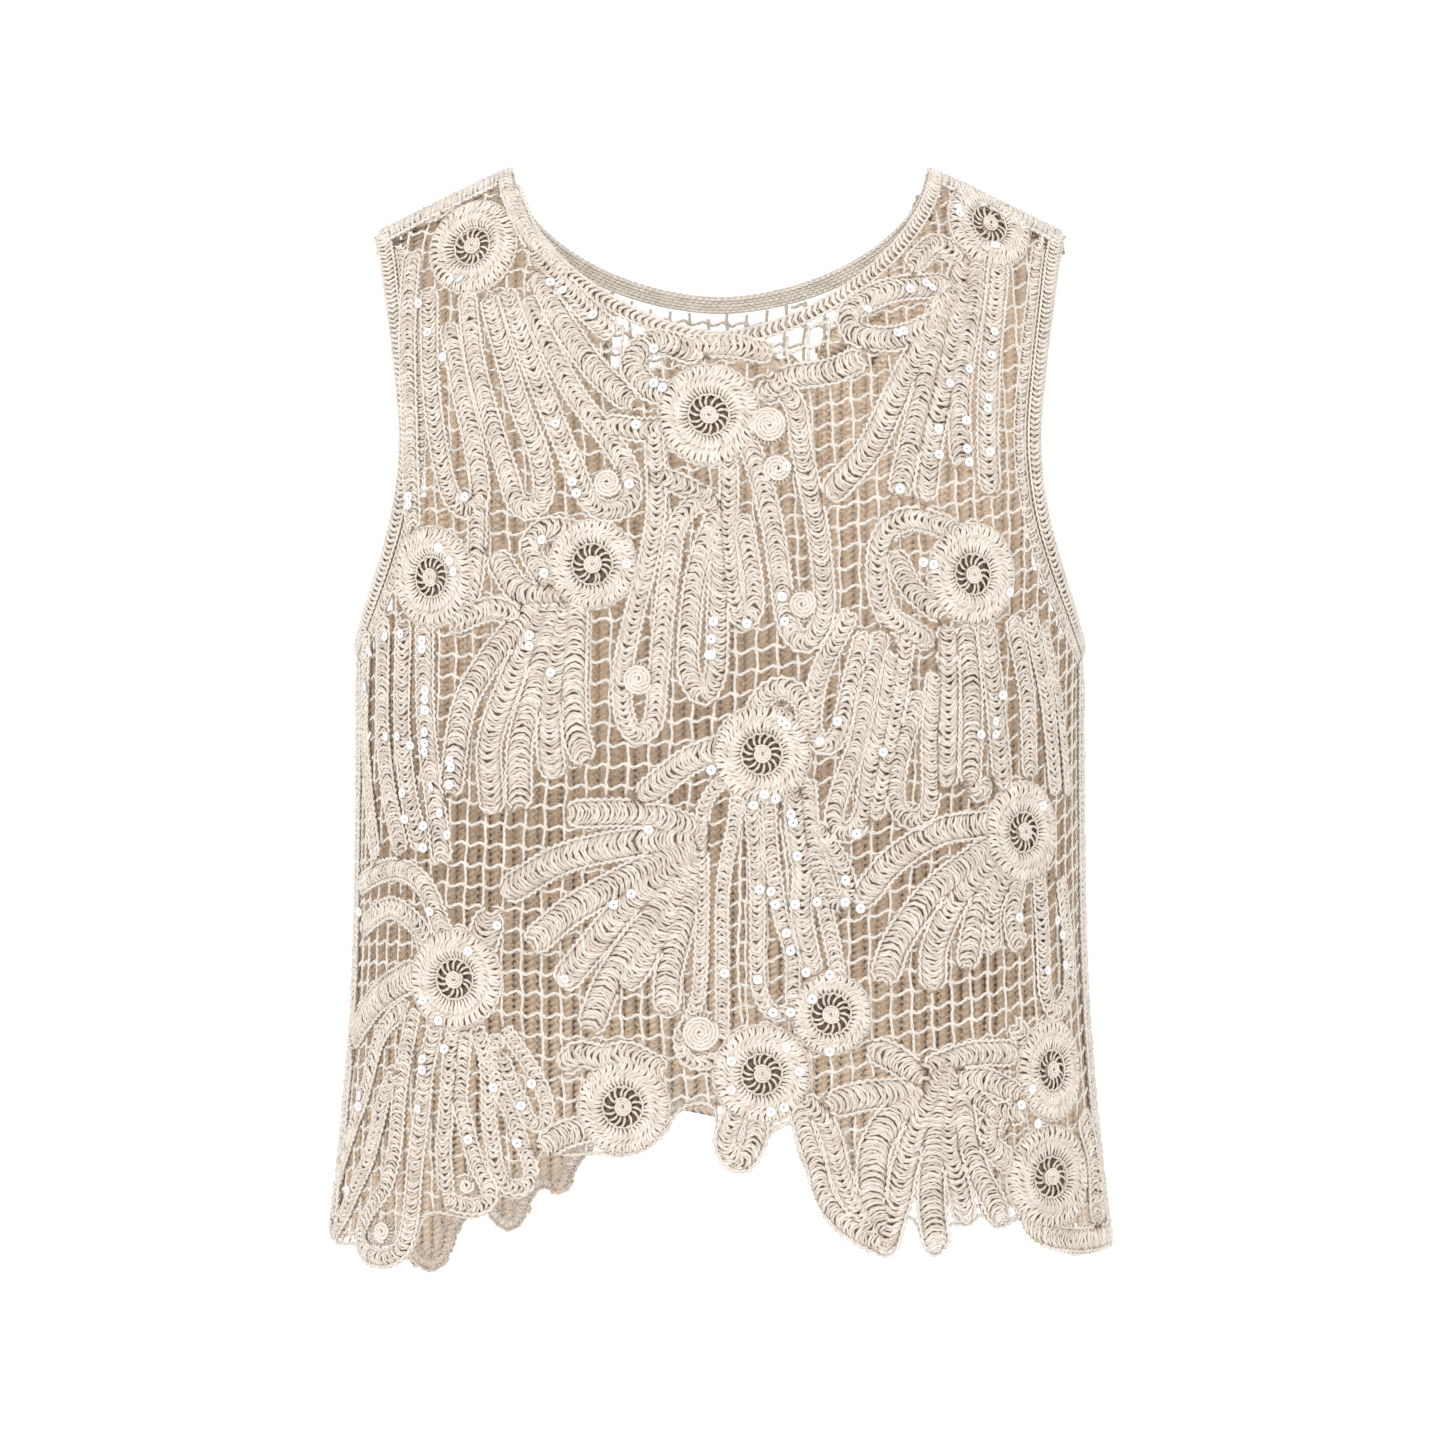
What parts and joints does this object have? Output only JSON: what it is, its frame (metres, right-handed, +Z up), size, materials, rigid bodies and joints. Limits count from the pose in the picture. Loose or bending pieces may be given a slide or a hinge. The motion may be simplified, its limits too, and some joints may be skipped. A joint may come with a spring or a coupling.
{
  "type": "crochet top",
  "caption": "Sleeveless cropped lace top in its worn shape, wheels and looped cords on an open net, round neck, open armholes and an uneven scalloped hem.",
  "frame": {"origin": "midway between the two neck points of the shoulder line, where the wearer's shoulders hold the top", "axes": "+Z up, along the length of the top; -Y is the front; +X to the right of someone who faces the front"},
  "size_m": [0.3694, 0.2175, 0.5294],
  "materials": {
    "cotton_yarn": "matte ecru cotton yarn"
  },
  "bodies": {
    "root": {"front_panel": "cotton_yarn", "back_panel": "cotton_yarn", "neck_band": "cotton_yarn", "armhole_band_left": "cotton_yarn", "armhole_band_right": "cotton_yarn"}
  },
  "joints": []
}
